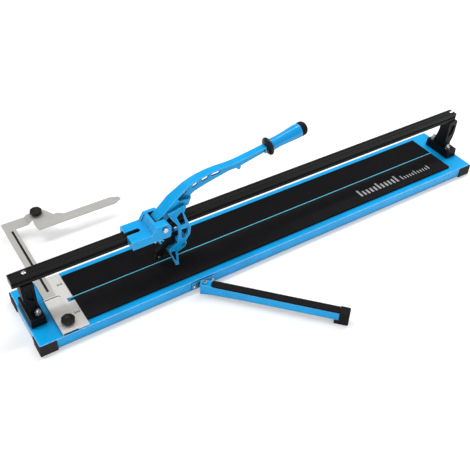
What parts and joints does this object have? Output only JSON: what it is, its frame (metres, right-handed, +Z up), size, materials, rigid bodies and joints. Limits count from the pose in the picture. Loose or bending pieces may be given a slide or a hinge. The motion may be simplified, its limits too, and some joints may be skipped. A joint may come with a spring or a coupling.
{
  "type": "manual tile cutter",
  "caption": "Manual rail tile cutter: a long tray with rubber pads, a sliding carriage with a scoring and breaking lever, a swivelling side fence and a swing-out support arm.",
  "frame": {"origin": "on the floor under the middle of the whole assembly's bounding box, in the pose of the picture", "axes": "+X along the rail from the bracket beside the fence to the bracket at the other end, +Y away from the operator, +Z up"},
  "size_m": [1.4144, 0.7494, 0.3297],
  "materials": {
    "blue_paint": "glossy blue powder coat",
    "black_rubber": "matt black rubber",
    "black_cast": "satin black painted casting",
    "black_anodised": "black anodised extrusion",
    "black_plastic": "satin black moulding",
    "gloss_blue_plastic": "polished blue moulding",
    "steel_plate": "brushed zinc-plated sheet steel",
    "zinc": "bright zinc plating",
    "ridge_blue": "pale blue painted steel",
    "white_nylon": "natural nylon",
    "carbide": "ground hard metal"
  },
  "bodies": {
    "base": {"base_tray": "blue_paint", "front_left_foot": "black_rubber", "front_right_foot": "black_rubber", "rear_left_foot": "black_rubber", "rear_right_foot": "black_rubber", "front_pad": "black_rubber", "rear_pad": "black_rubber", "breaking_ridge": "ridge_blue", "rail": "black_anodised", "left_rail_cap": "black_plastic", "right_rail_cap": "black_plastic", "left_rail_screw": "zinc", "right_rail_screw": "zinc", "left_rail_bracket": "black_cast", "right_rail_bracket": "black_cast", "bracket_washer_1": "zinc", "bracket_bolt_1": "zinc", "bracket_nut_1": "zinc", "bracket_washer_2": "zinc", "bracket_bolt_2": "zinc", "bracket_nut_2": "zinc", "bracket_washer_3": "zinc", "bracket_bolt_3": "zinc", "bracket_nut_3": "zinc", "bracket_washer_4": "zinc", "bracket_bolt_4": "zinc", "bracket_nut_4": "zinc", "fence_cover_plate": "steel_plate", "support_bracket": "blue_paint", "support_bracket_screw_1": "zinc", "support_bracket_screw_2": "zinc", "support_pivot_bolt": "zinc"},
    "carriage": {"carriage_body": "blue_paint", "roller_axle_1": "zinc", "roller_axle_2": "zinc", "rear_slide_pad": "white_nylon", "roller_lock_screw": "zinc", "lever_pivot_bolt": "zinc", "lever_pivot_nut": "zinc"},
    "guide_roller_1": {"guide_roller_1": "zinc"},
    "guide_roller_2": {"guide_roller_2": "zinc"},
    "lever": {"lever": "blue_paint", "grip_collar": "black_plastic", "grip": "gloss_blue_plastic", "grip_end_cap": "black_rubber", "wheel_holder": "black_cast", "wheel_axle": "zinc", "foot_pin": "zinc"},
    "scoring_wheel": {"scoring_wheel": "carbide"},
    "breaker_foot": {"breaker_foot": "blue_paint"},
    "fence_arm": {"fence_arm": "steel_plate"},
    "fence_blade": {"fence_blade": "steel_plate"},
    "fence_knob": {"fence_knob": "black_plastic"},
    "cover_plate_knob": {"cover_plate_knob": "black_plastic"},
    "support_arm": {"support_arm": "blue_paint", "support_arm_strip": "black_rubber", "support_arm_end_cap": "black_rubber"}
  },
  "joints": [
    {"name": "carriage_slide", "type": "slide", "parent": "base", "child": "carriage", "axis": [1, 0, 0], "range_m": [-0.225, 0.865]},
    {"name": "guide_roller_1_turn", "type": "hinge", "parent": "carriage", "child": "guide_roller_1", "pos_m": [-0.3972, -0.00109, 0.16575], "axis": [0, 0, 1], "continuous": true},
    {"name": "guide_roller_2_turn", "type": "hinge", "parent": "carriage", "child": "guide_roller_2", "pos_m": [-0.3692, -0.00109, 0.16575], "axis": [0, 0, 1], "continuous": true},
    {"name": "lever_pivot", "type": "hinge", "parent": "carriage", "child": "lever", "pos_m": [-0.3322, 0.02271, 0.189], "axis": [0, 1, 0], "range_deg": [-21, 12]},
    {"name": "scoring_wheel_turn", "type": "hinge", "parent": "lever", "child": "scoring_wheel", "pos_m": [-0.3332, 0.02271, 0.064], "axis": [0, 1, 0], "continuous": true},
    {"name": "breaker_foot_swing", "type": "hinge", "parent": "lever", "child": "breaker_foot", "pos_m": [-0.2682, 0.02271, 0.0875], "axis": [0, 1, 0], "range_deg": [-12, 7]},
    {"name": "fence_arm_slide", "type": "slide", "parent": "base", "child": "fence_arm", "axis": [0, 1, 0], "range_m": [-0.2, 0.01]},
    {"name": "fence_blade_swivel", "type": "hinge", "parent": "fence_arm", "child": "fence_blade", "pos_m": [-0.5362, 0.35771, 0.046], "axis": [0, 0, 1], "range_deg": [-45, 45]},
    {"name": "fence_knob_turn", "type": "hinge", "parent": "fence_arm", "child": "fence_knob", "pos_m": [-0.5362, 0.35771, 0.05], "axis": [0, 0, 1], "range_deg": [-180, 180]},
    {"name": "cover_plate_knob_turn", "type": "hinge", "parent": "base", "child": "cover_plate_knob", "pos_m": [-0.6102, -0.04729, 0.045], "axis": [0, 0, 1], "range_deg": [-180, 180]},
    {"name": "support_arm_swing", "type": "hinge", "parent": "base", "child": "support_arm", "pos_m": [-0.2652, -0.09829, 0.02], "axis": [0, 0, 1], "range_deg": [-44, 46]}
  ],
  "couplings": [
    {"joint": "guide_roller_1_turn", "follows": "carriage_slide", "rad_per_m": 90.909},
    {"joint": "guide_roller_2_turn", "follows": "carriage_slide", "rad_per_m": 90.909}
  ]
}
